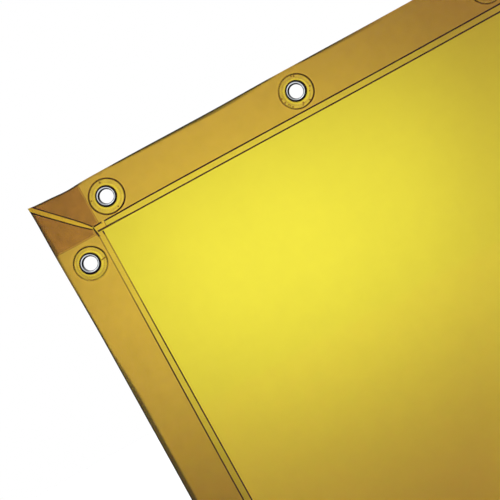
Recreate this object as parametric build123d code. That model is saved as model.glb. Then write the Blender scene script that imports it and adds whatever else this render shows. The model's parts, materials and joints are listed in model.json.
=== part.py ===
from build123d import *
import os

# Transparent welding curtain that hangs by its top row of eyelets.
# Origin: middle of the top row of eyelets, halfway through the film. +X along the top edge, +Z up.
# The hems are folded to the front, which is -Y. All sizes are in millimetres.

# Film panel, finished size over its folded edges
WIDTH = 1219.2
HEIGHT = 1828.8
FILM = 0.36                 # film thickness

# Hems: one ply folded to the front, mitred at the corners and heat sealed along its cut edge
HEM = 53.8                  # from the folded edge to the cut edge
SEAL_WIDTH = 6.6            # width of the heat-sealed bar beside the cut edge
SEAL_LINE = 1.2             # width of the pressed line on each side of the bar
SEAL_DEPTH = 0.12
SEAL_TAIL = 3.0             # how far a bar stops short of the corner fold
MITRE_BOW = 3.2             # how far each mitred end bows away from the diagonal
MITRE_GAP = 0.5             # gap that the two mitred ends keep at both tips of the slit between them

# Eyelets: three sides, about one inch in from the folded edge
TOP_FROM_EDGE = 25.4        # from the top edge down to the centres of the top row
TOP_EYELETS = 6
TOP_FIRST = 73.2            # from the side edge to the first eyelet of the top row
SIDE_FROM_EDGE = 27.1       # from a side edge in to the centres of its row
SIDE_EYELETS = 5
SIDE_FIRST = 75.9           # from the top edge to the first eyelet of a side row

HOLE_R = 7.0                # clear bore of an eyelet
BARREL_R = 7.5              # outside of its barrel
FILM_HOLE_R = 7.6           # hole punched in the plies and in the washer
FLANGE_R = 10.5             # rolled front flange
FLANGE_RISE = 1.2           # height of the flange over the reinforcement disc
FLANGE_LIP = 0.45           # thickness of the flange at its rim
CURL_R = 8.8                # barrel end curled over the washer
CURL_RISE = 0.75
WASHER_R = 10.4
WASHER_THICK = 0.5
PATCH_R = 18.0              # film disc that reinforces the hem round an eyelet
PATCH_CHAMFER = 0.15

# Everything is built flat: x to the right, y up, z towards the front. FRONT then stands it up.
FRONT = Plane.XZ
TOP_EDGE = TOP_FROM_EDGE
CENTRE = (0, TOP_EDGE - HEIGHT / 2)
PANEL_FRONT = FILM / 2
PLIES_AT_EYELET = 1         # plies in front of the panel there: the hem
PLIES_UNDER_CORNER = 2      # tucked plies between the panel and the hem's mitred ends

# Each side: its name, the middle of its folded edge, its turn from the top side, and its length
SIDES = [
    ("top", (0, TOP_EDGE), 0, WIDTH),
    ("left", (-WIDTH / 2, CENTRE[1]), 90, HEIGHT),
    ("bottom", (0, TOP_EDGE - HEIGHT), 180, WIDTH),
    ("right", (WIDTH / 2, CENTRE[1]), 270, HEIGHT),
]
# Each corner: its name, its place, and its turn from the top left corner
CORNERS = [
    ("top_left", (-WIDTH / 2, TOP_EDGE), 0),
    ("bottom_left", (-WIDTH / 2, TOP_EDGE - HEIGHT), 90),
    ("bottom_right", (WIDTH / 2, TOP_EDGE - HEIGHT), 180),
    ("top_right", (WIDTH / 2, TOP_EDGE), 270),
]


def row_places(count, first, length):
    """Even places along a side of this length, measured from its middle."""
    pitch = (length - 2 * first) / (count - 1)
    return [first + i * pitch - length / 2 for i in range(count)]


def eyelet_places():
    """The name and place of every eyelet: the top row from the left, the side rows from the top."""
    side_x = WIDTH / 2 - SIDE_FROM_EDGE
    places = [
        (f"top_{i}", (x, 0))
        for i, x in enumerate(row_places(TOP_EYELETS, TOP_FIRST, WIDTH), 1)
    ]
    for side, x in (("left", -side_x), ("right", side_x)):
        for i, along in enumerate(row_places(SIDE_EYELETS, SIDE_FIRST, HEIGHT), 1):
            places.append((f"{side}_{i}", (x, CENTRE[1] - along)))
    return places


EYELETS = eyelet_places()


def punch(solid, base, height):
    """The solid with every eyelet's hole punched through it."""
    for _, (x, y) in EYELETS:
        solid -= Pos(x, y, base + height / 2) * Cylinder(FILM_HOLE_R, height * 4)
    return solid


def plate(face, base, height):
    """A ply: a face drawn flat, thickened towards the front from the level called base."""
    return extrude(Pos(0, 0, base) * face, height, dir=(0, 0, 1))


def mitre_edge(start, end, bow):
    """A mitred end from start to end, bowed sideways by this much at its middle."""
    chord = Vector(*end) - Vector(*start)
    aside = Vector(-chord.Y, chord.X).normalized() * bow
    middle = Vector(*start) + chord / 2 + aside
    return ThreePointArc(start, (middle.X, middle.Y), end)


def panel():
    """The single ply of film that the whole curtain is made from, inside its folded edges."""
    sheet = plate(Pos(*CENTRE) * Rectangle(WIDTH, HEIGHT), -FILM / 2, FILM)
    return punch(sheet, -FILM / 2, FILM)


def hem_outline(length):
    """The folded ply of one side, drawn as the top one, with the middle of its fold at (0, 0)."""
    half = length / 2
    outer_left, inner_left = (-half + MITRE_GAP, 0), (-half + HEM, -HEM + MITRE_GAP)
    outer_right, inner_right = (half - MITRE_GAP, 0), (half - HEM, -HEM + MITRE_GAP)
    cut_left, cut_right = (-half + HEM, -HEM), (half - HEM, -HEM)
    return make_face(
        mitre_edge(outer_left, inner_left, MITRE_BOW)
        + Polyline(inner_left, cut_left, cut_right, inner_right)
        + mitre_edge(inner_right, outer_right, MITRE_BOW)
        + Line(outer_right, outer_left)
    )


def seal_lines(length, level):
    """The two pressed lines that bound the heat-sealed bar."""
    run = length - 2 * (HEM + SEAL_TAIL)
    middle_y = -HEM + SEAL_WIDTH / 2
    across = (SEAL_WIDTH - SEAL_LINE) / 2
    return [
        Pos(0, middle_y + side * across, level) * Box(run, SEAL_LINE, 2 * SEAL_DEPTH)
        for side in (-1, 1)
    ]


def hem(place, turn, length):
    """One hem: flat on the panel between the corners, and lifted over the tucked plies at each end."""
    between = length - 2 * HEM
    low, high = PANEL_FRONT, PANEL_FRONT + PLIES_UNDER_CORNER * FILM
    outline = hem_outline(length)
    middle = Pos(0, -HEM / 2) * Rectangle(between, HEM)
    strip = plate(outline & middle, low, FILM)
    for line in seal_lines(length, low + FILM):
        strip -= line
    ends = plate(outline - middle, high, FILM)
    lifted = [strip, ends]
    for side in (-1, 1):
        x = side * (between - FILM) / 2
        lifted.append(
            Pos(x, -HEM / 2, (low + high) / 2 + FILM / 2)
            * Box(FILM, HEM, high - low + FILM)
        )
    whole = Part() + lifted
    return punch(Pos(*place) * Rot(0, 0, turn) * whole, low, FILM)


def corner_tuck(place, turn):
    """The corner folded in under a mitre: a square ply and a three-cornered ply under each hem end."""
    square = Pos(HEM / 2, -HEM / 2) * Rectangle(HEM, HEM)
    first = plate(square, PANEL_FRONT, FILM)
    tip, inner = (MITRE_GAP, 0), (HEM, -HEM + MITRE_GAP)
    under_top = make_face(
        mitre_edge(tip, inner, MITRE_BOW) + Polyline(inner, (HEM, 0), tip)
    )
    tip, inner = (0, -MITRE_GAP), (HEM - MITRE_GAP, -HEM)
    under_side = make_face(
        mitre_edge(tip, inner, -MITRE_BOW) + Polyline(inner, (0, -HEM), tip)
    )
    second = plate(under_top + under_side, PANEL_FRONT + FILM, FILM)
    return Pos(*place) * Rot(0, 0, turn) * (first + second)


def reinforcement_disc():
    """A film disc with a bevelled rim, sealed on the hem round an eyelet."""
    base = PANEL_FRONT + PLIES_AT_EYELET * FILM
    ring = Circle(PATCH_R) - Circle(FILM_HOLE_R)
    disc = plate(ring, base, FILM)
    rim = disc.edges().filter_by(GeomType.CIRCLE).group_by(Axis.Z)[-1].sort_by(SortBy.RADIUS)[-1]
    return chamfer(rim, PATCH_CHAMFER)


def eyelet():
    """A pressed metal eyelet: barrel, rolled flange in front and barrel end curled over the washer."""
    seat = PANEL_FRONT + (PLIES_AT_EYELET + 1) * FILM
    back = -FILM / 2 - WASHER_THICK
    crown_r = (HOLE_R + FLANGE_R) / 2
    under_r = (BARREL_R + FLANGE_R - FLANGE_LIP) / 2
    barrel_top, barrel_end = seat + FLANGE_LIP, back - CURL_RISE / 2
    curl_mid_r = (HOLE_R + CURL_R) / 2
    profile = make_face(
        Line((HOLE_R, barrel_end), (HOLE_R, barrel_top))
        + ThreePointArc((HOLE_R, barrel_top), (crown_r, seat + FLANGE_RISE), (FLANGE_R, seat))
        + Line((FLANGE_R, seat), (FLANGE_R - FLANGE_LIP, seat))
        + ThreePointArc(
            (FLANGE_R - FLANGE_LIP, seat),
            (under_r, seat + FLANGE_RISE - FLANGE_LIP),
            (BARREL_R, seat),
        )
        + Line((BARREL_R, seat), (BARREL_R, back))
        + Line((BARREL_R, back), (CURL_R, back))
        + ThreePointArc((CURL_R, back), (curl_mid_r, back - CURL_RISE), (HOLE_R, barrel_end))
    )
    return revolve(Plane.XZ * profile, Axis.Z)


def washer():
    """The flat ring behind the film that the eyelet is clinched against."""
    ring = Circle(WASHER_R) - Circle(FILM_HOLE_R)
    return plate(ring, -FILM / 2 - WASHER_THICK, WASHER_THICK)


def build_nodes():
    """Every named piece, standing up in the curtain's own frame."""
    nodes = {"curtain_film": panel()}
    for name, place, turn, length in SIDES:
        nodes[f"hem_{name}"] = hem(place, turn, length)
    for name, place, turn in CORNERS:
        nodes[f"corner_tuck_{name}"] = corner_tuck(place, turn)
    eyelet_shape, washer_shape, disc_shape = eyelet(), washer(), reinforcement_disc()
    for name, place in EYELETS:
        nodes[f"eyelet_{name}"] = Pos(*place) * eyelet_shape
        nodes[f"eyelet_washer_{name}"] = Pos(*place) * washer_shape
        nodes[f"eyelet_disc_{name}"] = Pos(*place) * disc_shape
    return {name: FRONT * shape for name, shape in nodes.items()}


os.makedirs("parts", exist_ok=True)
for node, shape in build_nodes().items():
    export_step(shape, f"parts/{node}.step")
    print(node, len(shape.solids()), round(shape.volume, 1))
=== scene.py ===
import json
import math
import random

import bpy
import numpy as np
from mathutils import Matrix, Vector
from mathutils.geometry import delaunay_2d_cdt
from mathutils.kdtree import KDTree


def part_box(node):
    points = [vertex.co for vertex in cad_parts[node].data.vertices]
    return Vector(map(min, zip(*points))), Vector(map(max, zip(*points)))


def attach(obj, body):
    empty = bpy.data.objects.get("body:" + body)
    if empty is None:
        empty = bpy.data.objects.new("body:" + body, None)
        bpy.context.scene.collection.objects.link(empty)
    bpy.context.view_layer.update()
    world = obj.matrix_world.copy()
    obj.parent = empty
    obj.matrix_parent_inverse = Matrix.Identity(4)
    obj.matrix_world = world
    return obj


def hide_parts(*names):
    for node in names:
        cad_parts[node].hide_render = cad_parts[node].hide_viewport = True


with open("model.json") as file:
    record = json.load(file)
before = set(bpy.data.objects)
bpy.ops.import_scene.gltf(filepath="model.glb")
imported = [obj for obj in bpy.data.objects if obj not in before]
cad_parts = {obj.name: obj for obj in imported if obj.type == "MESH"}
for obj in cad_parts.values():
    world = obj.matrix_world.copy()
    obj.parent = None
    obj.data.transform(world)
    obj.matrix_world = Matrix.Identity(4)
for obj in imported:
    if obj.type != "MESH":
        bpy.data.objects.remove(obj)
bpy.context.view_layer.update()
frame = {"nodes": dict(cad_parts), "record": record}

# A transparent welding curtain. The film is built flat, ply by ply, and then placed in the frame with its
# slight waves. On the flat film a point is (x, z), and its level is its distance in front of the middle of
# the panel ply.
MM = 0.001
PANEL_LOW, PANEL_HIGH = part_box("curtain_film")
LEFT, RIGHT = PANEL_LOW.x, PANEL_HIGH.x
BOTTOM, TOP = PANEL_LOW.z, PANEL_HIGH.z
WIDTH, HEIGHT = RIGHT - LEFT, TOP - BOTTOM
FILM = PANEL_HIGH.y - PANEL_LOW.y
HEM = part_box("hem_left")[1].x - LEFT
AIR = 0.02 * MM                 # gap between plies that lie on each other

# Levels of the plies in front of the panel
PANEL_FRONT = FILM / 2
HEM_BACK = PANEL_FRONT + AIR
HEM_FRONT = PANEL_FRONT + FILM
DISC_FRONT = HEM_FRONT + FILM
CORNER_LIFT = 2 * FILM          # the tucked plies lift the hem's ends by this much

# Seal lines and cut edges, measured inwards from the folded edge. The top and bottom hems lie over the side
# hems at the corners
OVER_LINES = (44.8 * MM, 51.75 * MM)
OVER_CUT = 52.6 * MM
UNDER_LINES = (47.5 * MM, 53.4 * MM)
UNDER_DRIFT = -1.3 * MM         # how far the outer line of a side hem wanders away from the corner
UNDER_CUT = 54.15 * MM
BLOCK_END = 58.9 * MM           # end of the square where the bars of two hems cross
LINE_SOFT = 0.22 * MM           # how softly a pressed line ends

# How much light each ply lets through, as linear red, green, blue. Those that are scaled are arrays
CLEAR = np.array((1.0, 1.0, 1.0))
HEM_TINT = (0.84, 0.645, 0.80)
TUCK_TINT = np.array((0.81, 0.70, 0.73))
SLIT_TINT = np.array((1.03, 0.80, 0.80))
BAR_TINT = np.array((0.95, 0.865, 0.78))
BLOCK_TINT = (0.96, 0.77, 0.74)
# dark pressed lines, and painted shadow round each flange's seat on its disc
DARK_LINE_AND_SHADOW_TINT = np.array((0.06, 0.03, 0.12))
FAINT_TINT = (0.38, 0.22, 0.45)
# painted shade of a hem's folded edge, where light refracts in the fold
FOLD_SHADE_TINT = (0.042, 0.042, 0.16)
# painted light that a hem's cut edge throws on the panel beside it
GLOW_TINT = (1.08, 1.06, 1.0)
FUSED_TINT = (0.985, 0.92, 0.90)    # a hem under a disc, where the plies are fused
DISC_TINT = (0.955, 0.89, 0.90)
BESIDE_METAL = (1.09, 1.07, 0.95)   # a disc where it meets the flange
HAZE_TINT = (0.66, 0.53, 0.75)

RNG = random.Random(7)


# ---- small functions

def ease(x, low, high):
    """0 up to low, 1 from high on, and smooth between."""
    t = np.clip((x - low) / (high - low), 0, 1)
    return t * t * (3 - 2 * t)


def fade(x, low, high):
    """1 up to low, 0 from high on, and smooth between."""
    return 1 - ease(x, low, high)


def hump(x, middle, width):
    """A smooth hump of height 1."""
    return np.exp(-(((x - middle) / width) ** 2))


def mixed(colour_a, colour_b, share):
    """colour_a where share is 0, and colour_b where it is 1."""
    share = np.clip(np.asarray(share), 0, 1)[..., None]
    return colour_a * (1 - share) + colour_b * share


def spaced(low, high, step):
    """Even steps from low to high, about this far apart."""
    return np.linspace(low, high, max(2, round((high - low) / step) + 1))


def pairs(first, second):
    """Points from two arrays, or from an array and one number."""
    return np.column_stack(np.broadcast_arrays(first, second))


def crossed(first, second):
    """A point for every pair of a value of the first array and one of the second."""
    return pairs(*(grid.ravel() for grid in np.meshgrid(first, second)))


def rounded(inset, least=0):
    """The share of a ply's thickness that a rounded fold has at this distance from its edge."""
    return np.sqrt(np.clip(1 - (1 - np.clip(inset / FILM, least, 1)) ** 2, 0, 1))


# ---- the frame's eyelets

def middle_of(node):
    low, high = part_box(node)
    middle = (low + high) / 2
    return np.array((middle.x, middle.z))


def radius_of(node):
    low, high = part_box(node)
    return (high.x - low.x) / 2


EYELETS = {
    node.removeprefix("eyelet_"): middle_of(node)
    for node in sorted(frame["nodes"])
    if node.startswith("eyelet_") and not node.startswith(("eyelet_disc_", "eyelet_washer_"))
}
EYELET_XZ = np.array(list(EYELETS.values()))
FLANGE_R = radius_of("eyelet_top_1")
DISC_R = radius_of("eyelet_disc_top_1")
WASHER_R = radius_of("eyelet_washer_top_1")
BORE_R = next(m for m in frame["record"]["mounts"] if m["kind"] == "bore")["dims"]["r_mm"] * MM
FILM_HOLE_R = BORE_R + 0.6 * MM


def eyelet_distance(flat):
    """How far each point of the flat film is from the nearest eyelet."""
    steps = flat[:, None] - EYELET_XZ
    return np.sqrt((steps ** 2).sum(-1)).min(1)


# ---- how the film lies

def along_top(x):
    """Distance from the nearer side edge."""
    return np.minimum(x - LEFT, RIGHT - x)


def along_side(z):
    """Distance from the nearer of the top and bottom edges."""
    return np.minimum(TOP - z, z - BOTTOM)


def top_edge_shift(s):
    """How far the top or bottom edge lies inside its straight line, close to the edge only."""
    out = 0.3 * fade(s, 25 * MM, 50 * MM) + 0.45 * ease(s, 0.21, 0.27)
    return (1.1 * hump(s, 40 * MM, 14 * MM) + 0.5 * hump(s, 190 * MM, 60 * MM) - out) * MM


def top_band_shift(s):
    """The same for the whole hem, which runs in a slight bow between the corners."""
    return (0.4 + 2.0 * ease(s, 0.09, 0.42)) * ease(s, 0, 30 * MM) * MM


def side_edge_shift(s):
    """How far a side edge lies inside its straight line."""
    return (-0.55 + 1.9 * ease(s, 0.03, 0.16)) * MM


def in_plane_shift(flat):
    """How far each point of the flat film is moved along the film."""
    x, z = flat[:, 0], flat[:, 1]
    near_top, near_side = along_top(x), along_side(z)
    down = np.where(TOP - z < z - BOTTOM, -1.0, 1.0)
    right = np.where(x - LEFT < RIGHT - x, 1.0, -1.0)
    rim = 26 * MM
    move_z = top_edge_shift(near_top) * fade(near_side, 0, rim)
    move_z += top_band_shift(near_top) * fade(near_side, 65 * MM, 0.45)
    move_x = side_edge_shift(near_side) * fade(near_top, 2 * MM, rim)
    ear = 1.35 * MM * np.exp(-np.hypot(near_top, near_side) / (7 * MM))
    return pairs(right * (move_x - ear * 0.6), down * (move_z - ear))


def wave(flat):
    """How far the film stands behind its flat plane: slight waves that die out at the eyelets."""
    x, z = flat[:, 0], flat[:, 1]
    depth = ease(TOP - z, 0.18, 1.5)
    swing = np.sin(2 * math.pi * (x / 0.47 + 0.25 * z) + 0.9)
    swing += 0.5 * np.sin(2 * math.pi * (x / 0.21 - 0.4 * z) + 2.2)
    sag = 0.35 * np.sin(2 * math.pi * (z / 0.62) + 0.5)
    held = ease(eyelet_distance(flat), 24 * MM, 130 * MM)
    return (0.25 + 2.9 * depth) * MM * (swing + sag) * held


def place(flat, level):
    """Points in the frame for points of the flat film at these levels."""
    moved = flat + in_plane_shift(flat)
    return np.column_stack([moved[:, 0], wave(flat) - level, moved[:, 1]])


# ---- building a ply

def within(points, loop):
    """True for each point that is inside the closed loop."""
    ends = np.roll(loop, -1, axis=0)
    inside = np.zeros(len(points), bool)
    x, z = points[:, 0], points[:, 1]
    for (x0, z0), (x1, z1) in zip(loop, ends):
        if z0 == z1:
            continue
        crosses = (z0 > z) != (z1 > z)
        inside ^= crosses & (x < x0 + (z - z0) * (x1 - x0) / (z1 - z0))
    return inside


def outside(points, loops):
    """The points that are inside none of the loops."""
    for loop in loops:
        points = points[~within(points, loop)]
    return points


def thin_out(points, kept, gap):
    """The points that are at least this far from every kept one."""
    tree = KDTree(len(kept))
    for i, (x, z) in enumerate(kept):
        tree.insert((x, z, 0), i)
    tree.balance()
    far = [tree.find((x, z, 0))[2] > gap for x, z in points]
    return points[np.array(far, bool)]


def triangulate(outline, holes, points, rails=()):
    """The points and triangles that fill an outline around its holes. Edges run along every rail."""
    corners, edges = [], []
    for line, closed in [(loop, 1) for loop in (outline, *holes)] + [(rail, 0) for rail in rails]:
        first, count = len(corners), len(line)
        corners += list(line)
        edges += [(first + i, first + (i + 1) % count) for i in range(count - 1 + closed)]
    corners += list(points)
    found, _, faces, *_ = delaunay_2d_cdt([Vector(p) for p in corners], edges, [], 0, 1e-7)
    flat = np.array([(p[0], p[1]) for p in found])
    triangles = np.array([f for f in faces if len(f) == 3])
    middle = flat[triangles].mean(1)
    keep = within(middle, outline)
    for hole in holes:
        keep &= ~within(middle, hole)
    triangles = triangles[keep]
    a, b, c = (flat[triangles[:, i]] for i in range(3))
    turn = (b[:, 0] - a[:, 0]) * (c[:, 1] - a[:, 1]) - (b[:, 1] - a[:, 1]) * (c[:, 0] - a[:, 0])
    triangles[turn < 0] = triangles[turn < 0][:, ::-1]
    used = np.unique(triangles)
    renumber = np.full(len(flat), -1)
    renumber[used] = np.arange(len(used))
    return flat[used], renumber[triangles]


def rim_edges(triangles):
    """The edges that only one triangle has, in that triangle's direction."""
    edges = np.concatenate([triangles[:, [0, 1]], triangles[:, [1, 2]], triangles[:, [2, 0]]])
    known = set(map(tuple, edges.tolist()))
    return [(a, b) for a, b in edges.tolist() if (b, a) not in known]


def in_scene(name, data):
    """A new object in the scene."""
    made = bpy.data.objects.new(name, data)
    bpy.context.scene.collection.objects.link(made)
    return made


def finish_mesh(name, points, faces, slots, tint, materials, sharp=35):
    """A mesh object with its tint stored on its points, smooth apart from its sharp edges."""
    mesh = bpy.data.meshes.new(name)
    mesh.from_pydata(points.tolist(), [], faces)
    for material in materials:
        mesh.materials.append(material)
    mesh.polygons.foreach_set("material_index", slots)
    mesh.polygons.foreach_set("use_smooth", [True] * len(faces))
    stored = mesh.attributes.new("tint", "FLOAT_COLOR", "POINT")
    with_alpha = np.column_stack([tint, np.ones(len(tint))])
    stored.data.foreach_set("color", with_alpha.astype(np.float32).ravel())
    mesh.validate()
    mesh.set_sharp_from_angle(angle=math.radians(sharp))
    return in_scene(name, mesh)


def ply(name, shells, materials):
    """A closed film piece. Each shell is (flat points, triangles, front levels, back levels, tint)."""
    points, faces, slots, tints, first = [], [], [], [], 0
    for flat, triangles, front, back, tint in shells:
        count = len(flat)
        points += [place(flat, front), place(flat, back)]
        tints += [tint, tint]
        front_faces = (triangles + first).tolist()
        back_faces = (triangles[:, ::-1] + first + count).tolist()
        rim = [(a + first, b + first) for a, b in rim_edges(triangles)]
        walls = [(b, a, a + count, b + count) for a, b in rim]
        faces += front_faces + back_faces + walls
        slots += [0] * len(front_faces) + [1] * len(back_faces) + [0] * len(walls)
        first += 2 * count
    return finish_mesh(name, np.concatenate(points), faces, slots, np.concatenate(tints), materials)


def polar(reach, turn):
    """The offset in x and z of a point this far away in this direction."""
    return reach * np.cos(turn), reach * np.sin(turn)


def ring(centre, radius, count):
    """Points round a circle on the flat film."""
    x, z = polar(radius, np.linspace(0, 2 * math.pi, count, endpoint=False))
    return pairs(centre[0] + x, centre[1] + z)


def turned(kind, name, profile, spread, tint_of, materials, sharp, slots=(), count=96):
    """A closed ring round an eyelet's axis. Its profile of (radius, level) runs outwards in front. spread and
    tint_of say where a point stands round the axis and what tint it has."""
    radius, level = profile.T
    steps = len(profile)
    centre = EYELETS[name]
    points, tints, faces = [], [], []
    for i, turn in enumerate(np.linspace(0, 2 * math.pi, count, endpoint=False)):
        x, z = spread(radius, turn)
        points.append(np.column_stack([centre[0] + x, -level, centre[1] + z]))
        tints.append(tint_of(radius, turn))
        here, there = i * steps, (i + 1) % count * steps
        ahead = [(k, (k + 1) % steps) for k in range(steps)]
        faces += [(here + k, here + m, there + m, there + k) for k, m in ahead]
    slots = (list(slots) or [0] * steps) * count
    points, tints = np.concatenate(points), np.concatenate(tints)
    return finish_mesh(f"{kind}_{name}", points, faces, slots, tints, materials, sharp)


def film_holes(which):
    """The holes of these eyelets, where they have to be on the flat film to end up at the eyelets."""
    places = [EYELETS[name] for name in which]
    return [ring(at - in_plane_shift(at[None])[0], FILM_HOLE_R, 48) for at in places]


# ---- the sides and their hems

class Side:
    """One side of the curtain: s runs along its folded edge and q runs inwards from it."""

    def __init__(self, name, corner, along, inward, length, over):
        self.name, self.length, self.over = name, length, over
        self.corner, self.along, self.inward = np.array(corner), np.array(along), np.array(inward)
        self.cut = OVER_CUT if over else UNDER_CUT
        self.eyelets = [n for n in EYELETS if n.startswith(name + "_")]
        self.rows = np.array([self.seen_from(EYELETS[n])[0] for n in self.eyelets])

    def flat(self, s, q):
        """Flat points from s and q."""
        s, q = np.broadcast_arrays(s, q)
        return self.corner + s[..., None] * self.along + q[..., None] * self.inward

    def seen_from(self, flat):
        """s and q of flat points."""
        step = flat - self.corner
        return step @ self.along, step @ self.inward

    def from_corner(self, s):
        """Distance to the nearer end of this side."""
        return np.minimum(s, self.length - s)

    def lines(self, s):
        """q of the two seal lines."""
        near = self.from_corner(s)
        if self.over:
            close = fade(near, 62 * MM, 100 * MM)
            return OVER_LINES[0] + 0.3 * MM * close, OVER_LINES[1] - 0.6 * MM * close
        return UNDER_LINES[0] + UNDER_DRIFT * ease(near, 0.06, 0.34), UNDER_LINES[1] + 0 * near

    def looseness(self, s):
        """0 beside an eyelet, which holds the fold flat, and 1 far from the eyelets."""
        if not len(self.rows):
            return np.ones_like(s)
        nearest = np.abs(np.asarray(s)[..., None] - self.rows).min(-1)
        return 1 - np.exp(-((nearest / (46 * MM)) ** 2))


SIDES = [
    Side("top", (LEFT, TOP), (1, 0), (0, -1), WIDTH, True),
    Side("bottom", (LEFT, BOTTOM), (1, 0), (0, 1), WIDTH, True),
    Side("left", (LEFT, TOP), (0, -1), (1, 0), HEIGHT, False),
    Side("right", (RIGHT, TOP), (0, -1), (-1, 0), HEIGHT, False),
]


def slit_edge(start, end, half, reach):
    """One edge of the slit between two hem ends, as (u, v): it closes on the diagonal at its inner end."""
    t = np.linspace(start * MM, end * MM, 44)
    n = half * MM * (1 - (t / (reach * MM)) ** 7) / math.sqrt(2)
    return pairs(t + n, t - n)


def mitre(over):
    """The mitred end of a hem, from its folded edge in to the seal, as (s, q)."""
    edge = slit_edge(1.38, 45.0, 1.95, 46.5) if over else slit_edge(1.45, 45.8, -2.05, 50)[:, ::-1]
    edge[0, 1] = 0
    return edge


# Where a hem's end runs on from the mitre to its cut edge, as (s, q)
OVER_INNER = np.array([(47.2, 44.9), (47.9, 48.6), (48.6, 52.3)]) * MM
UNDER_INNER = np.array([(47.8, 45.8), (45.3, 45.9), (45.3, 47.0), (49.5, 47.6), (52.8, 48.4),
                        (52.8, 54.0)]) * MM


class Line:
    """A pressed line in a hem: points (s, q), half its width, and how dark it is at each point."""

    def __init__(self, points, half, dark, tint=DARK_LINE_AND_SHADOW_TINT):
        self.points, self.half, self.tint = points, half, tint
        self.dark = np.broadcast_to(dark, len(points))

    def share(self, points, soft=LINE_SOFT):
        """How much of the line each point has, from 0 to 1."""
        best = np.zeros(len(points))
        for i in range(len(self.points) - 1):
            a, b = self.points[i], self.points[i + 1]
            low, high = np.minimum(a, b) - self.half - soft, np.maximum(a, b) + self.half + soft
            near = np.where(((points >= low) & (points <= high)).all(1))[0]
            if not len(near):
                continue
            step = b - a
            t = np.clip(((points[near] - a) @ step) / (step @ step), 0, 1)
            off = np.linalg.norm(points[near] - a - t[:, None] * step, axis=1)
            dark = self.dark[i] * (1 - t) + self.dark[i + 1] * t
            best[near] = np.maximum(best[near], dark * fade(off, self.half, self.half + soft))
        return best

    def rows(self):
        """Rows of points along both sides of the line, so that the mesh shows it sharply."""
        step = np.gradient(self.points, axis=0)
        aside = pairs(-step[:, 1], step[:, 0]) / np.linalg.norm(step, axis=1)[:, None]
        outer = self.half + LINE_SOFT
        return [self.points + aside * off for off in (-outer, -self.half, 0, self.half, outer)]


def clear_of(lines, points):
    """The (s, q) points that lie outside every line, so that they don't break up its mesh."""
    free = np.ones(len(points), bool)
    for line in lines:
        free &= line.share(points, 0.35 * MM) == 0
    return points[free]


def mirrored(points, length):
    """These (s, q) points at the other end of a side."""
    return pairs(length - points[:, 0], points[:, 1])


def both_ends(points, length):
    """These (s, q) points at the start of a side, and mirrored at its end."""
    return [points, mirrored(points, length)]


def dense(points, step=0.8 * MM):
    """A polyline with points added so that none are further apart than step."""
    made = [points[:1]]
    for a, b in zip(points[:-1], points[1:]):
        count = max(1, math.ceil(np.linalg.norm(b - a) / step))
        made.append(a + (b - a) * np.arange(1, count + 1)[:, None] / count)
    return np.concatenate(made)


def stations(side, start):
    """Where a long line has points: close together near the corners and further apart between them."""
    fine_end = 75 * MM
    low = spaced(start, fine_end, 1.0 * MM)
    middle = spaced(fine_end, side.length - fine_end, 6 * MM)
    return np.concatenate([low, middle[1:-1], side.length - low[::-1]])


def hem_lines(side):
    """Every pressed or dark line of one hem, beginning with its two seal lines."""
    found = []

    def seal(which, start, half, dark):
        s = stations(side, start * MM)
        line = side.lines(s)[which]
        found.append(Line(pairs(s, line), half * MM, dark(side.from_corner(s))))

    def ends(points, half, dark=1.0, tint=DARK_LINE_AND_SHADOW_TINT):
        for end in both_ends(dense(np.array(points) * MM), side.length):
            found.append(Line(end, half * MM, dark, tint))

    if side.over:
        seal(0, 59.5, 0.72, lambda near: 1.0)
        seal(1, 49.2, 0.72, lambda near: 0.97)
        ends([(47.6, 45.3), (55.3, 44.9)], 0.74)
        ends([(58.9, 45.6), (58.9, 50.6)], 0.25, 0.7, FAINT_TINT)
    else:
        for which in (0, 1):
            seal(which, 55.8, 0.62, lambda near: 0.47 + 0.53 * ease(near, 0.08, 0.19))
        ends([(45.9, 46.45), (50.0, 46.95), (55.6, 47.45)], 0.88)
        ends([(53.2, 53.5), (56.0, 53.4)], 0.80)
    beside_slit = mitre(side.over)[1:] + np.array((0.40, -0.40)) * MM
    for end in both_ends(beside_slit, side.length):
        found.append(Line(end, 0.58 * MM, 1.0))
    return found


def fold_shade(side, s, q):
    """How much painted shade the folded edge has: a dark core where light refracts in the fold, thin where an
    eyelet holds it, and a wider painted shade behind it where the edge curls away.
    """
    loose = side.looseness(s)
    near = side.from_corner(s)
    square = fade(near, HEM - 4 * MM, HEM + 2 * MM)
    if side.over:
        tight = hump(near, 0.425, 0.06)
        least = 0.18 * ease(near, 0.15, 0.25)
        core = (least + (1 - least) * ease(loose, 0.0, 0.22)) * (1 - tight)
        wide = ease(near, 0.17, 0.21) * fade(near, 0.29, 0.33)
        shade = (0.3 + 0.5 * loose) * (1 - tight) - 0.10 * wide
        shade = shade + (0.32 - shade) * square
        width = 0.7 + 1.0 * loose + 1.0 * loose * wide
        soft, corner_core = 1.9, 0.9
    else:
        far = ease(near, 0.15, 0.215)
        core = 0.76 + 0.24 * ease(loose, 0.0, 0.4)
        shade = 0.54 + 0.27 * far
        width = 1.0 + 2.8 * far + 1.0 * square + 1.0 * hump(near, 46 * MM, 16 * MM)
        soft, corner_core = 2.2, 1.0
    core = core + (corner_core - core) * square
    first = core * fade(q, 1.0 * MM, 1.9 * MM)
    return np.maximum(first, shade * fade(q, width * MM, (width + soft) * MM))


def beyond_disc(flat):
    """How far each point of the flat film lies outside the rim of the nearest disc."""
    return eyelet_distance(flat + in_plane_shift(flat)) - DISC_R


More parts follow.
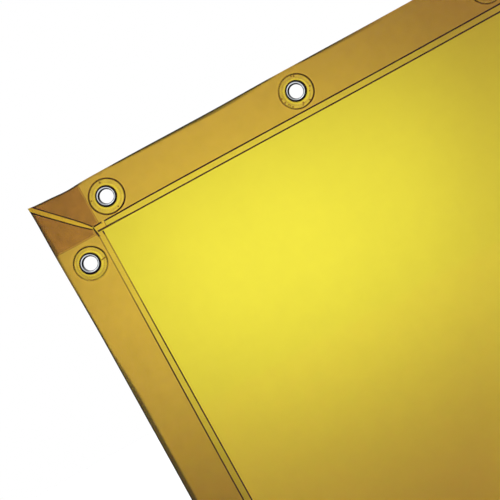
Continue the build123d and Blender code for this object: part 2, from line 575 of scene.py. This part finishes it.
def hem_tint(side, flat, lines):
    """The tint of a hem's ply at each point, with painted shade along its fold, a painted highlight beside
    its seal lines and painted light just outside its discs.
    """
    s, q = side.seen_from(flat)
    near = side.from_corner(s)
    line_a, line_b = side.lines(s)
    bar = ease(q, line_a - 0.1 * MM, line_a + 0.3 * MM)
    if side.over:
        tint = mixed(mixed(HEM_TINT, BAR_TINT, bar), BLOCK_TINT, bar * (near < BLOCK_END))
        dim = 0.10 * ease(near, 0.23, 0.40)
    else:
        far = ease(near, 0.10, 0.19)
        tint = mixed(HEM_TINT, mixed(BAR_TINT * (0.94, 0.86, 1.0), BAR_TINT * (0.985, 0.98, 1.0), far), bar)
        tint = mixed(tint, tint * (0.90, 0.98, 0.72), ease(near, 0.20, 0.31))
        dim = 0.06 * ease(near, 0.13, 0.2) + 0.06 * ease(near, 0.27, 0.36)
    tint = tint * (1 - dim)[:, None]
    out = beyond_disc(flat)
    tint = mixed(tint, FUSED_TINT, fade(out, -1.2 * MM, -0.3 * MM))
    # Painted light: a bright ring on the hem just outside each disc's rim
    painted_halo = ease(out, -0.2 * MM, 0.9 * MM) * fade(out, 1.6 * MM, 3.2 * MM)
    tint = tint * (1 + 0.07 * painted_halo)[:, None]
    # Painted shade along the folded edge
    tint = mixed(tint, FOLD_SHADE_TINT, fold_shade(side, s, q))
    # Painted highlight on either side of the seal lines, away from the hem's ends
    off = np.minimum(np.abs(q - line_a), np.abs(q - line_b))
    painted_bead_highlight = ease(off, 0.6 * MM, 0.95 * MM) * fade(off, 1.2 * MM, 2.0 * MM) * (near > HEM)
    tint = tint * (1 + 0.07 * painted_bead_highlight)[:, None]
    for line in lines:
        tint = mixed(tint, line.tint, line.share(pairs(s, q)))
    return tint


def hem_levels(side, flat, lines):
    """The front and back levels of a hem's ply, which is pressed at the seal and lifted at the corners."""
    s, q = side.seen_from(flat)
    near = side.from_corner(s)
    lift = CORNER_LIFT * fade(near, HEM - 0.3 * MM, HEM + 1.4 * MM)
    loop = 0.5 * MM * side.looseness(s) * ease(q, 0, 3 * MM) * fade(q, 4 * MM, 15 * MM)
    loop = loop * ease(near, HEM, HEM + 25 * MM)
    front = PANEL_FRONT + (FILM + lift) * rounded(q) + loop
    line_a = side.lines(s)[0]
    bar = ease(q, line_a - 0.2 * MM, line_a + 0.6 * MM) * ease(near, HEM, HEM + 6 * MM)
    front = front - 0.07 * MM * bar
    for line in lines[:2]:
        front = front - 0.10 * MM * line.share(pairs(s, q))
    back = HEM_BACK + (lift + loop) * ease(q, 0.1 * MM, 0.6 * MM)
    return np.maximum(front, back + 0.03 * MM), back


# How far inside its folded edge a hem has rows of points, which show the painted shade of the fold
FOLD_ROWS = np.array((0.06, 0.2, 0.36, 0.6, 0.9, 1.3, 1.8, 2.5, 3.4, 4.4, 5.4, 6.6, 9.0)) * MM


def hem_outline(side):
    """The outline of one hem, as (s, q)."""
    inner = OVER_INNER if side.over else UNDER_INNER
    end = dense(np.concatenate([mitre(side.over), inner]), 0.9 * MM)
    cut = pairs(stations(side, end[-1][0]), side.cut)
    fold = pairs(stations(side, end[0][0])[::-1], 0.0)
    return np.concatenate([end, cut[1:-1], mirrored(end, side.length)[::-1], fold[1:-1]])


def hem_fill(side, lines):
    """The (s, q) points inside a hem: rows along its fold and its seal, a wide grid, and its lifted ends."""
    s = stations(side, 1 * MM)
    points = [pairs(s, row) for row in FOLD_ROWS]
    points.append(crossed(spaced(9 * MM, side.length - 9 * MM, 6 * MM), spaced(13 * MM, 40 * MM, 5.4 * MM)))
    middle = sum(side.lines(s)) / 2
    points += [pairs(s, middle + row) for row in (-1.4 * MM, 1.4 * MM)]
    points += [pairs(s, side.lines(s)[0] - row) for row in (1.3 * MM, 2.1 * MM)]
    lift = crossed(HEM + np.array((-0.8, -0.2, 0.5, 1.2, 1.8)) * MM, spaced(1 * MM, 44 * MM, 2.5 * MM))
    points += both_ends(lift, side.length)
    return clear_of(lines, np.concatenate(points))


def hem_rings(side, lines):
    """Rings of flat points round a hem's eyelets, close together under the rims of the discs."""
    near_rim = [(DISC_R - 1.2 * MM, 72), (DISC_R - 0.3 * MM, 72), (DISC_R + 1 * MM, 72)]
    sizes = [(12 * MM, 48), *near_rim, (DISC_R + 3 * MM, 60)]
    rings = [ring(hole.mean(0), *size) for hole in film_holes(side.eyelets) for size in sizes]
    found = pairs(*side.seen_from(np.concatenate([np.empty((0, 2)), *rings])))
    return side.flat(*clear_of(lines, found).T)


def hem(side, materials):
    """The folded-over ply of one side, with its mitred ends, its fold and its heat-sealed bar."""
    lines = hem_lines(side)
    outline = side.flat(*hem_outline(side).T)
    holes = film_holes(side.eyelets)
    seals = [row for line in lines[:2] for row in line.rows()]
    rails = [side.flat(*row.T) for row in seals if row[:, 1].max() < side.cut - 0.08 * MM]
    kept = np.concatenate([outline, *holes, *rails])
    sharp = side.flat(*np.concatenate([row for line in lines[2:] for row in line.rows()]).T)
    fill = outside(side.flat(*hem_fill(side, lines).T), holes)
    inner = np.empty((0, 2))
    for points, gap in ((sharp, 0.12), (hem_rings(side, lines), 0.3), (fill, 0.2)):
        points = points[within(points, outline)]
        inner = np.concatenate([inner, thin_out(points, np.concatenate([kept, inner]), gap * MM)])
    flat, triangles = triangulate(outline, holes, inner, rails)
    front, back = hem_levels(side, flat, lines)
    shell = (flat, triangles, front, back, hem_tint(side, flat, lines))
    return ply(f"hem_{side.name}_folded", [shell], materials)


# ---- the panel, the tucked corners and the discs

def grid_points(low, high, step):
    """Points of a staggered grid inside a rectangle."""
    xs, zs = spaced(low[0], high[0], step), spaced(low[1], high[1], step * 0.87)
    grid_x, grid_z = np.meshgrid(xs, zs)
    grid_x += (np.arange(len(zs)) % 2)[:, None] * step / 2
    points = pairs(grid_x.ravel(), grid_z.ravel())
    return points[(points[:, 0] < high[0]) & (points[:, 0] > low[0])]


def panel_outline(inset):
    """The panel's outline, this far inside its edges."""
    low_x, high_x = LEFT + inset, RIGHT - inset
    low_z, high_z = BOTTOM + inset, TOP - inset
    sides = [(low_x, low_z), (high_x, low_z), (high_x, high_z), (low_x, high_z), (low_x, low_z)]
    return dense(np.array(sides), 6 * MM)[:-1]


def panel_tint(flat):
    """Clear, apart from painted light that a hem's cut edge throws on the panel beside it."""
    tint = CLEAR
    for side in SIDES:
        s, q = side.seen_from(flat)
        glow = ease(q, side.cut, side.cut + 0.3 * MM) * fade(q, side.cut + 0.7 * MM, side.cut + 1.6 * MM)
        inside = ease(side.from_corner(s), HEM, HEM + 3 * MM)
        tint = mixed(tint, GLOW_TINT, 0.8 * glow * inside)
    return tint


def panel(materials):
    """The single ply of film, rounded at the back of its folded edges."""
    outline = panel_outline(0)
    rows = [panel_outline(inset * MM) for inset in (0.08, 0.36, 1.0, 4.0)]
    for side in SIDES:
        s = stations(side, HEM + 2 * MM)
        rows += [side.flat(s, side.cut + off * MM) for off in (0.05, 0.35, 1.1, 1.6)]
    holes = film_holes(EYELETS)
    margin = 8 * MM
    fill = grid_points((LEFT + margin, BOTTOM + margin), (RIGHT - margin, TOP - margin), 12 * MM)
    fill = thin_out(outside(fill, holes), np.concatenate([outline, *holes, *rows]), 3 * MM)
    flat, triangles = triangulate(outline, holes, np.concatenate([*rows, fill]))
    inset = np.minimum(along_top(flat[:, 0]), along_side(flat[:, 1]))
    front = np.full(len(flat), PANEL_FRONT)
    back = PANEL_FRONT - np.maximum(FILM * rounded(inset), 0.02 * MM)
    return ply("curtain_panel", [(flat, triangles, front, back, panel_tint(flat))], materials)


CORNERS = {
    "top_left": (LEFT, TOP, 1.0, -1.0),
    "top_right": (RIGHT, TOP, -1.0, -1.0),
    "bottom_left": (LEFT, BOTTOM, 1.0, 1.0),
    "bottom_right": (RIGHT, BOTTOM, -1.0, 1.0),
}


def corner_flat(corner, points):
    """Flat points from (u, v): u inwards from the side edge and v inwards from the top or bottom edge."""
    x, z, right, up = corner
    return pairs(x + right * points[:, 0], z + up * points[:, 1])


def tuck_shell(corner, outline, fill, low, tint_of):
    """One tucked ply, from its (u, v) outline."""
    closed = np.concatenate([outline, outline[:1]])
    loop = corner_flat(corner, dense(closed, 0.9 * MM)[:-1])
    points = corner_flat(corner, fill)
    points = thin_out(points[within(points, loop)], loop, 0.35 * MM)
    flat, triangles = triangulate(loop, [], points)
    u = np.abs(flat[:, 0] - corner[0])
    v = np.abs(flat[:, 1] - corner[1])
    front = low + AIR + (FILM - AIR) * np.maximum(rounded(np.minimum(u, v), 0.02), 0.1)
    back = np.full(len(flat), low + AIR)
    return flat, triangles, front, back, tint_of(u, v)


TUCK_END = HEM - 1.7 * MM       # how far the second tucked plies reach


def fused_corner(u, v):
    """1 where the bars cross at the inner end of a mitre and all the plies are fused, and 0 elsewhere."""
    return ease(u, 46.2 * MM, 46.9 * MM) * ease(v, 44.8 * MM, 45.5 * MM)


def first_tuck_tint(u, v):
    """The square ply's tint: lighter in the slit between the mitred ends, and dark along its cut edges."""
    slit = np.concatenate([mitre(True), mitre(False)[::-1, ::-1]])
    gap = within(pairs(u, v), slit).astype(float)
    tint = mixed(TUCK_TINT, SLIT_TINT, gap)
    dim = gap * fade(np.hypot(u, v), 10 * MM, 34 * MM)
    tint = mixed(tint, SLIT_TINT * (0.92, 0.91, 0.92), 0.7 * dim)
    rim = HEM - np.maximum(u, v)
    tint = mixed(tint, TUCK_TINT * (0.62, 0.55, 0.7), 0.7 * fade(rim, 0.25 * MM, 0.7 * MM))
    return mixed(tint, CLEAR, fused_corner(u, v))


def second_tuck_tint(u, v):
    """The tint of the three-cornered plies: slightly cloudy, and lighter towards the corner's tip."""
    cloud = 0.5 + 0.5 * np.sin(u / (9 * MM) + 1.0) * np.sin(v / (7 * MM) + 0.3)
    tint = TUCK_TINT * (0.95 + 0.05 * cloud)[:, None]
    tint = tint * (1.02 + 0.10 * fade(np.hypot(u, v), 10 * MM, 30 * MM))[:, None]
    rim = TUCK_END - np.maximum(u, v)
    tint = mixed(tint, TUCK_TINT * (0.80, 0.74, 0.85), 0.6 * fade(rim, 0.3 * MM, 0.9 * MM))
    return mixed(tint, CLEAR, fused_corner(u, v))


def corner_tuck(name, materials):
    """The corner folded in under a mitre: a square ply, and a three-cornered ply under each hem's end."""
    corner = CORNERS[name]
    over, under = mitre(True), mitre(False)[:, ::-1]
    steps = np.concatenate([spaced(0.6 * MM, 43.5 * MM, 2.1 * MM), spaced(44.1 * MM, HEM, 0.4 * MM)])
    fill = crossed(steps, steps)
    slit_rows = np.concatenate([row for edge in (over, under) for row in Line(edge, 0.2 * MM, 1.0).rows()])
    fill_square = np.concatenate([slit_rows, thin_out(fill, slit_rows, 0.8 * MM)])
    square = np.array([(0, 0), (HEM, 0), (HEM, HEM), (0, HEM)])
    under_over = np.concatenate([over[1:], [(TUCK_END, 43.5 * MM), (TUCK_END, 0)]])
    under_side = np.concatenate([under[1:], [(43.5 * MM, TUCK_END), (0, TUCK_END)]])
    second = PANEL_FRONT + FILM
    shells = [
        tuck_shell(corner, square, fill_square, PANEL_FRONT, first_tuck_tint),
        tuck_shell(corner, under_over, fill, second, second_tuck_tint),
        tuck_shell(corner, under_side, fill, second, lambda u, v: 1.06 * second_tuck_tint(u, v)),
    ]
    return ply(f"corner_{name}_tucked", shells, materials)


# Each disc: how large its rim stands, how dark the rim is, how much one side has a darker rim and a lighter
# disc, as painted shade and painted light, which side that is, and how hazy the disc is inside it. The discs
# that the photo doesn't show are drawn at random
DISC_RIM = {
    "top_1": (1.050, 0.88, 0.10, -50, 0.22),
    "top_2": (1.020, 0.72, 0.24, -10, 0.40),
    "left_1": (0.980, 0.72, 0.32, 68, 0.35),
}
# The specks trapped under each disc: distance from its middle in mm, direction, and size
DISC_SPECKS = {
    "top_1": [(14.7, 88, 1.4), (14.8, 290, 1.0), (15.3, 169, 1.0)],
    "top_2": [(15.3, 71, 1.3), (15.6, 80, 1.0), (16.2, 179, 1.5), (15.3, 197, 1.2), (15.0, 212, 1.0),
              (15.2, 219, 1.0), (15.5, 229, 1.1), (13.3, 273, 1.5), (15.0, 268, 1.0), (15.6, 300, 1.1),
              (14.4, 353, 1.1), (13.1, 334, 0.8)],
    "left_1": [],
}
# How far a flange stands off its barrel, in mm, and towards where
FLANGE_LEAN = {"top_1": (0.7, 145), "top_2": (0.5, 95), "left_1": (0.6, 170)}
CREASED_DISC = "left_1"
# Rings of points on a disc, closest together at the seat of the flange and at the rim
DISC_RINGS = np.array((7.6, 9.0, 10.4, 10.8, 11.2, 11.6, 12.1, 12.7, 13.3, 13.9, 14.5, 15.1, 15.7, 16.05,
                       16.3, 16.5, 17.0, 17.5, 17.8, 17.92, 18.0)) * MM


def disc_tint(name, radius, turn):
    """The tint of a disc: clear and bright beside the metal, with a dark rim and a few specks, painted shade
    and light towards one side, and a painted shadow round the flange's seat.
    """
    reach = radius / MM
    size, dark, swing, towards, haze = DISC_RIM[name]
    side = np.cos(turn - math.radians(towards))
    tint = mixed(DISC_TINT, BESIDE_METAL, hump(reach, 12.2, 1.1))
    milky = haze * ease(reach, 12.4, 13.3) * (1 - 0.5 * ease(reach, 14.8, 15.6))
    tint = mixed(tint, HAZE_TINT, milky)
    uneven = 0.04 * np.sin(3 * turn + len(name)) + 0.03 * np.sin(7 * turn + 2.0)
    rim = ease(reach, 16.05, 16.5) * fade(reach, 17.85, 17.99)
    # Painted shade: the rim is darker towards one side
    tint = mixed(tint, DARK_LINE_AND_SHADOW_TINT, rim * np.clip(dark + swing * side + uneven, 0, 1))
    # Soft random clouds, a lighter ring, and painted light that lightens the disc towards the side where its
    # rim is darker
    cloud = np.sin(5 * turn + 1.7 * reach) * np.sin(3 * turn - 0.9 * reach + size)
    bright = 0.05 * cloud * ease(reach, 12, 13) + 0.07 * hump(reach, 15.2, 0.6) + 0.25 * swing * side
    tint = tint * (1 + bright)[:, None]
    # Painted shadow round the flange's seat on the disc, shifted the way the flange leans
    lean, lean_towards = FLANGE_LEAN[name]
    shift = 0.8 * lean * np.cos(turn - math.radians(lean_towards))
    tint = mixed(tint, DARK_LINE_AND_SHADOW_TINT * 0.4, fade(reach, 10.75 + shift, 11.35 + shift))
    x, z = polar(reach, turn)
    for at, angle, width in DISC_SPECKS[name]:
        speck_x, speck_z = polar(at, math.radians(angle))
        off = np.hypot(x - speck_x, z - speck_z)
        tint = mixed(tint, FAINT_TINT, 0.95 * fade(off, 0.4 * width, width))
    if name == CREASED_DISC:
        off = np.abs(math.remainder(turn, 2 * math.pi) + 0.18 - 0.02 * (reach - 12))
        crease = fade(off, 0.03, 0.07) * ease(reach, 10.5, 11.5) * fade(reach, 15.8, 16.6)
        tint = mixed(tint, FAINT_TINT, 0.9 * crease)
    return tint


def draw_disc(name):
    """Random looks for a disc and flange that the photo doesn't show."""
    rim = [RNG.uniform(*span) for span in ((0.97, 1.03), (0.7, 0.9), (0.05, 0.2), (0, 360), (0.3, 0.9))]
    count = RNG.randint(1, 5)
    DISC_RIM[name] = rim
    FLANGE_LEAN[name] = (RNG.uniform(0, 0.4), RNG.uniform(0, 360))
    spans = ((13.5, 16.4), (0, 360), (0.4, 0.8))
    DISC_SPECKS[name] = [[RNG.uniform(*span) for span in spans] for _ in range(count)]


def disc(name, materials):
    """The film disc that reinforces the hem round an eyelet."""
    if name not in DISC_RIM:
        draw_disc(name)
    size = DISC_RIM[name][0]
    radii = DISC_RINGS * DISC_R / DISC_RINGS[-1]
    bevel = ease(radii, radii[-4], radii[-1])
    press = 0.05 * MM * ease(radii, 15.9 * MM, 16.4 * MM) * (1 - bevel)
    front = pairs(radii, DISC_FRONT - AIR - 0.17 * MM * bevel - press)
    back = pairs(radii, HEM_FRONT + AIR)[::-1]

    def warped(radius, turn):
        warble = 1 + 0.008 * math.cos(2 * turn) + 0.004 * math.sin(5 * turn + len(name))
        return polar(radius * (1 + (size * warble - 1) * ease(radius, 11 * MM, 17 * MM)), turn)

    profile = np.concatenate([front, back])
    slots = [0] * len(front) + [1] * (len(back) - 1) + [0]
    tint_of = lambda radius, turn: disc_tint(name, radius, turn)
    return turned("disc", name, profile, warped, tint_of, materials, 35, slots, 168)


# ---- metal eyelets

UP_LEFT = math.radians(108)     # the side of the metal that faces away from the light


def metal_shade(radius, turn):
    """Painted shade on the metal, as how bright each point is: dark inside on the side away from the light,
    dark where it rolls down to the film, and dimmer in two opposite directions.
    """
    reach = radius / MM
    away = turn - UP_LEFT
    dark = min(1, max(0.15, 0.72 + 0.6 * math.cos(away)))
    inner = 8.15 + 0.45 * math.cos(away - math.radians(62))
    outer = 8.75 + 0.45 * math.cos(away - math.radians(27))
    inside = dark * fade(reach, inner, inner + 0.35)
    # Painted shade that dims the metal in two opposite directions round its axis
    directional_shade = 1 - 0.35 * math.cos(away + math.radians(53)) ** 2
    return np.outer(directional_shade * (1 - inside) * fade(reach, outer, outer + 0.4), CLEAR)


def arc(centre, size, first, last, count):
    """Points of an ellipse's arc between two angles in degrees."""
    angles = np.radians(np.linspace(first, last, count))
    return [(centre[0] + size[0] * math.cos(a), centre[1] + size[1] * math.sin(a)) for a in angles]


def eyelet(name, material):
    """A pressed metal eyelet: barrel, rolled flange in front, and barrel end curled over the washer."""
    low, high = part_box(f"eyelet_{name}")
    crown, tail = -low.y, -high.y
    seat = DISC_FRONT + 0.01 * MM
    wall = 0.45 * MM
    washer_back = -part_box(f"eyelet_washer_{name}")[1].y
    flange_mid = (BORE_R + FLANGE_R) / 2
    half = (FLANGE_R - BORE_R) / 2
    outer = arc((flange_mid, seat), (half, crown - seat), 180, 0, 33)
    inner = arc((flange_mid, seat), (half - wall, crown - seat - wall), 0, 180, 15)
    curl_half = 0.9 * MM
    curl = arc((BORE_R + curl_half, washer_back), (curl_half, washer_back - tail), 0, -180, 13)
    profile = outer + inner + [(BORE_R + wall + 0.05 * MM, washer_back)] + curl[:-1]
    profile = np.array(profile + [(BORE_R, washer_back)])
    lean, towards = FLANGE_LEAN[name]
    away_x, away_z = polar(lean * MM, math.radians(towards))
    aside = np.where(profile[:, 1] > DISC_FRONT, ease(profile[:, 0], BORE_R, FLANGE_R), 0)

    def leaning(radius, turn):
        x, z = polar(radius, turn)
        return x + aside * away_x, z + aside * away_z

    return turned("metal_eyelet", name, profile, leaning, metal_shade, [material], 50)


def washer(name, material):
    """The slightly dished ring behind the film that the eyelet is clinched against."""
    low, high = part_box(f"eyelet_washer_{name}")
    front, back = -low.y - AIR, -high.y
    inner, outer = FILM_HOLE_R, WASHER_R
    edge = 0.14 * MM
    profile = [(inner, front), (outer - edge, front), (outer, front - edge), (outer, back + edge)]
    profile += [(outer - edge, back), (outer - 1.1 * MM, back + 0.07 * MM), (inner + 1.4 * MM, back)]
    profile = np.array(profile + [(inner, back)])
    # Painted shade: each ring of the profile lighter or darker, darkest at the inner back edge
    tint = np.outer((0.75, 0.8, 0.9, 0.9, 1.0, 0.85, 0.8, 0.5), CLEAR)
    return turned("metal_washer", name, profile, polar, lambda radius, turn: tint, [material], 30)


# ---- materials

def nodes_of(name):
    """A new material and its empty node tree."""
    material = bpy.data.materials.new(name)
    material.use_nodes = True
    tree = material.node_tree
    tree.nodes.clear()
    return material, tree


def add(tree, kind, **inputs):
    """A new node. Its inputs, by name or as i and their number, are set to values, to other nodes' outputs,
    or to other nodes, which stand for their first outputs."""
    node = tree.nodes.new("ShaderNode" + kind)
    for name, value in inputs.items():
        numbered = name[0] == "i" and name[1:].isdigit()
        socket = node.inputs[int(name[1:]) if numbered else name.replace("_", " ")]
        if isinstance(value, bpy.types.Node):
            value = value.outputs[0]
        if isinstance(value, bpy.types.NodeSocket):
            tree.links.new(value, socket)
        else:
            socket.default_value = value
    return node


def vector_math(tree, operation, a, b):
    """Two colours or directions, combined."""
    node = add(tree, "VectorMath", i0=a, i1=b)
    node.operation = operation
    return node


def multiply(tree, a, b):
    """The product of two colours."""
    return vector_math(tree, "MULTIPLY", a, b)


def on_object(tree):
    """Places on the object, in metres."""
    return add(tree, "TexCoord").outputs["Object"]


def stored_tint(tree):
    """The tint that is stored on the mesh."""
    tint = add(tree, "Attribute")
    tint.attribute_name = "tint"
    return tint


def mottle(tree, scale, low, high, detail=3.0, stretch=(1, 1, 1)):
    """A factor that varies softly over the film between low and high."""
    where = multiply(tree, on_object(tree), stretch)
    noise = add(tree, "TexNoise", Vector=where, Scale=scale, Detail=detail, Roughness=0.5)
    return add(tree, "MapRange", Value=noise, From_Min=0.3, From_Max=0.7, To_Min=low, To_Max=high)


def film_shade(tree, cloud, fine):
    """The stored tint with soft clouds and a fine grain over it."""
    return multiply(tree, multiply(tree, stored_tint(tree), cloud), fine)


def ripple(tree, strength):
    """The slight unevenness of calendered film, as a bumped normal."""
    fine = add(tree, "TexNoise", Vector=on_object(tree), Scale=35.0, Detail=2.0, Roughness=0.45)
    return add(tree, "Bump", Strength=strength, Distance=0.0015, Height=fine)


def glossy_over(tree, body, normal, roughness, ior):
    """A shader under a thin shine that grows towards grazing angles."""
    shine = add(tree, "BsdfGlossy", Color=(1, 1, 1, 1), Roughness=roughness, Normal=normal)
    share = add(tree, "Fresnel", IOR=ior, Normal=normal)
    mix = add(tree, "MixShader", Fac=share, i1=body, i2=shine)
    add(tree, "OutputMaterial", Surface=mix)


FILM_IOR = 1.25
SEE = (0.78, 0.11, 0.06)        # what the panel's see-through share lets pass
SEE_SHARE = 0.20
GLOW = (0.90, 0.945, 0.045)     # the light that the film scatters through itself
SOLID = (0.80, 0.60, 0.03, 1)   # the light that it sends back to the front
SOLID_SHARE = 0.05


def panel_film():
    """Tinted film that shows some of what is behind it and scatters the light that falls on its back."""
    material, tree = nodes_of("tinted_film")
    cloud = mottle(tree, 5.0, 0.975, 1.02, stretch=(1.0, 1.0, 0.35))
    fine = mottle(tree, 60.0, 0.985, 1.01, detail=4.0)
    shade = film_shade(tree, cloud, fine)
    see = add(tree, "BsdfTransparent", Color=multiply(tree, shade, SEE))
    glow = add(tree, "BsdfTranslucent", Color=multiply(tree, shade, GLOW))
    solid = add(tree, "BsdfDiffuse", Color=SOLID, Roughness=0.2)
    lit = add(tree, "MixShader", Fac=SOLID_SHARE, i1=glow, i2=solid)
    body = add(tree, "MixShader", Fac=1 - SEE_SHARE, i1=see, i2=lit)
    glossy_over(tree, body, ripple(tree, 0.25), 0.12, FILM_IOR)
    return material


def ply_film(name, roughness, bump, ior=FILM_IOR):
    """A ply that lies on the panel: a clear tinted filter with a shine of its own."""
    material, tree = nodes_of(name)
    cloud = mottle(tree, 9.0, 0.97, 1.02, stretch=(1.0, 1.0, 0.6))
    fine = mottle(tree, 110.0, 0.965, 1.02, detail=4.0)
    shade = film_shade(tree, cloud, fine)
    see = add(tree, "BsdfTransparent", Color=shade)
    glossy_over(tree, see, ripple(tree, bump), roughness, ior)
    return material


def clear_back():
    """The back face of a ply, whose colour its front face carries."""
    material, tree = nodes_of("film_back")
    see = add(tree, "BsdfTransparent", Color=(1, 1, 1, 1))
    glossy_over(tree, see, ripple(tree, 0.25), 0.14, 1.08)
    return material


def plated_metal():
    """Bright nickel plate with fine turning marks and cloudy handling marks, mixed with near-black where the
    stored tint paints shade on it.
    """
    material, tree = nodes_of("plated_metal")
    colour = multiply(tree, (0.93, 0.96, 1.0), mottle(tree, 900.0, 0.90, 1.04, detail=5.0))
    rough = mottle(tree, 600.0, 0.10, 0.24, detail=4.0)
    where = multiply(tree, on_object(tree), (1, 6, 1))
    scratch = add(tree, "TexNoise", Vector=where, Scale=1500.0, Detail=2.0)
    normal = add(tree, "Bump", Strength=0.12, Distance=0.0002, Height=scratch)
    metal = add(tree, "BsdfPrincipled", Base_Color=colour, Metallic=1.0, Roughness=rough, Normal=normal)
    # Painted shade: a near-black diffuse shader, mixed in as far as the stored tint is dark
    painted_shade = add(tree, "BsdfDiffuse", Color=(0.010, 0.010, 0.016, 1), Normal=normal)
    unshaded = add(tree, "SeparateColor", Color=stored_tint(tree))
    mix = add(tree, "MixShader", Fac=unshaded, i1=painted_shade, i2=metal)
    add(tree, "OutputMaterial", Surface=mix)
    return material


# ---- camera

TILT = math.radians(28.96)      # the curtain hangs this far turned in the view
VIEW_WIDTH = 495.3 * MM
VIEW_CENTRE = (LEFT + 171.6 * MM, TOP - 140.7 * MM)
LENS, SENSOR = 300.0, 36.0


def make_camera():
    """A long lens square on to the curtain, turned so that the curtain leans in the view."""
    data = bpy.data.cameras.new("camera")
    data.lens, data.sensor_width = LENS, SENSOR
    camera = in_scene("camera", data)
    away = VIEW_WIDTH * LENS / SENSOR
    turn = Matrix.Rotation(math.radians(90), 4, "X") @ Matrix.Rotation(-TILT, 4, "Z")
    camera.matrix_world = Matrix.Translation((VIEW_CENTRE[0], -away, VIEW_CENTRE[1])) @ turn
    data.clip_start, data.clip_end = 0.1, 100
    bpy.context.scene.camera = camera


# ---- studio

def area_light(name, place_at, turn, size, power, spread=180.0):
    """A rectangular lamp that the camera doesn't see."""
    data = bpy.data.lights.new(name, "AREA")
    data.shape = "RECTANGLE"
    data.size, data.size_y = size
    data.energy = power
    data.spread = math.radians(spread)
    lamp = in_scene(name, data)
    lamp.matrix_world = Matrix.Translation(place_at) @ turn
    lamp.visible_camera = False
    lamp.visible_glossy = place_at[1] < 0


FACING_FRONT = Matrix.Rotation(math.radians(-90), 4, "X")
KEY_POWER = 0.70
KEY_BEHIND, REST_BEHIND = 0.220, 0.13   # how far behind the film the softboxes stand
SPILL = 0.03                    # how far outside the view the wide softboxes start
REACH = 2.0                     # how far from the view's middle they end
REST_LEVEL = 1.15               # their watts per square metre


def wide_softbox(name, right, down):
    """A dim softbox behind the film, between two distances right of the view's middle and two below it."""
    size = (right[1] - right[0], down[1] - down[0])
    across, along = sum(right) / 2, sum(down) / 2
    x = VIEW_CENTRE[0] + across * math.cos(TILT) - along * math.sin(TILT)
    z = VIEW_CENTRE[1] - across * math.sin(TILT) - along * math.cos(TILT)
    turn = FACING_FRONT @ Matrix.Rotation(TILT, 4, "Z")
    area_light(name, (x, PANEL_HIGH.y + REST_BEHIND, z), turn, size, REST_LEVEL * size[0] * size[1], 60)


def back_lamps():
    """A softbox close behind the corner, and two wide ones behind the rest of the film, clear of the view."""
    turn = FACING_FRONT @ Matrix.Rotation(0.157, 4, "Z")
    at = (LEFT + 203.3 * MM, PANEL_HIGH.y + KEY_BEHIND, TOP - 150.2 * MM)
    area_light("corner_softbox", at, turn, (0.439, 0.234), KEY_POWER, 160)
    rim = VIEW_WIDTH / 2 + SPILL
    wide_softbox("right_softbox", (rim, REACH), (-0.9, REACH))
    wide_softbox("low_softbox", (-1.0, rim), (rim + 0.04, REACH))


def front_lamp():
    """A big soft key above and in front, which gives the metal and the gloss their highlights."""
    at = Vector((LEFT + 0.1, -1.9, 1.5))
    aim = Vector((LEFT + 0.35, 0, -0.3)) - at
    turn = aim.to_track_quat("-Z", "Y").to_matrix().to_4x4()
    area_light("front_softbox", at, turn, (1.4, 0.8), 6.0)


def studio_floor():
    """A plain pale floor just below the curtain, lit evenly by a lamp of its own."""
    half, low = 60.0, BOTTOM - 0.05
    mesh = bpy.data.meshes.new("studio_floor")
    corners = [(-half, -half, low), (half, -half, low), (half, half, low), (-half, half, low)]
    mesh.from_pydata(corners, [], [(0, 1, 2, 3)])
    floor = in_scene("studio_floor", mesh)
    material, tree = nodes_of("studio_floor")
    paint = add(tree, "BsdfDiffuse", Color=(0.86, 0.86, 0.855, 1), Roughness=0.0)
    add(tree, "OutputMaterial", Surface=paint)
    mesh.materials.append(material)
    floor.visible_diffuse = floor.visible_transmission = False
    lit = bpy.data.collections.new("lit_by_floor_lamp")
    lit.objects.link(floor)
    data = bpy.data.lights.new("floor_lamp", "SUN")
    data.energy, data.angle = 3.45, math.radians(70)
    lamp = in_scene("floor_lamp", data)
    lamp.light_linking.receiver_collection = lit


def studio_world():
    """White to the camera. To everything else, a soft bright patch in front and a dim room around it."""
    world = bpy.data.worlds.new("studio_world")
    bpy.context.scene.world = world
    world.use_nodes = True
    tree = world.node_tree
    tree.nodes.clear()
    towards = add(tree, "TexCoord").outputs["Generated"]
    axis = Vector((-0.10, -1.0, 0.36)).normalized()
    facing = vector_math(tree, "DOT_PRODUCT", towards, axis).outputs["Value"]
    patch = add(tree, "MapRange", Value=facing, From_Min=0.22, From_Max=0.94, To_Min=0.03, To_Max=0.95)
    patch.interpolation_type = "SMOOTHSTEP"
    room = add(tree, "Background", Color=(0.96, 0.98, 1.0, 1), Strength=patch)
    white = add(tree, "Background", Color=(1, 1, 1, 1), Strength=1.0)
    seen = add(tree, "LightPath").outputs["Is Camera Ray"]
    mix = add(tree, "MixShader", Fac=seen, i1=room, i2=white)
    add(tree, "OutputWorld", Surface=mix)


def view_settings():
    """Plain display colours, and enough see-through steps for every ply in a row."""
    scene = bpy.context.scene
    scene.view_settings.view_transform = "Standard"
    scene.cycles.transparent_max_bounces = 40


# ---- making it

def put(piece, node):
    """The piece stands for the CAD node and rides on the curtain's one body."""
    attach(piece, "root")
    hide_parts(node)
    return piece


make_camera()
view_settings()
studio_world()
studio_floor()
back_lamps()
front_lamp()

body_film, back_film = panel_film(), clear_back()
hem_film = ply_film("hem_film", 0.12, 0.3)
tuck_film = ply_film("tuck_film", 0.16, 0.4, 1.1)
disc_film = ply_film("disc_film", 0.10, 0.5, 1.15)
metal = plated_metal()

sheet = put(panel([body_film, back_film]), "curtain_film")
hems = [put(hem(side, [hem_film, back_film]), f"hem_{side.name}") for side in SIDES]
tucks = [put(corner_tuck(name, [tuck_film, back_film]), f"corner_tuck_{name}")
         for name in CORNERS]
discs = [put(disc(name, [disc_film, back_film]), f"eyelet_disc_{name}")
         for name in EYELETS]
for name in EYELETS:
    put(eyelet(name, metal), f"eyelet_{name}")
    put(washer(name, metal), f"eyelet_washer_{name}")
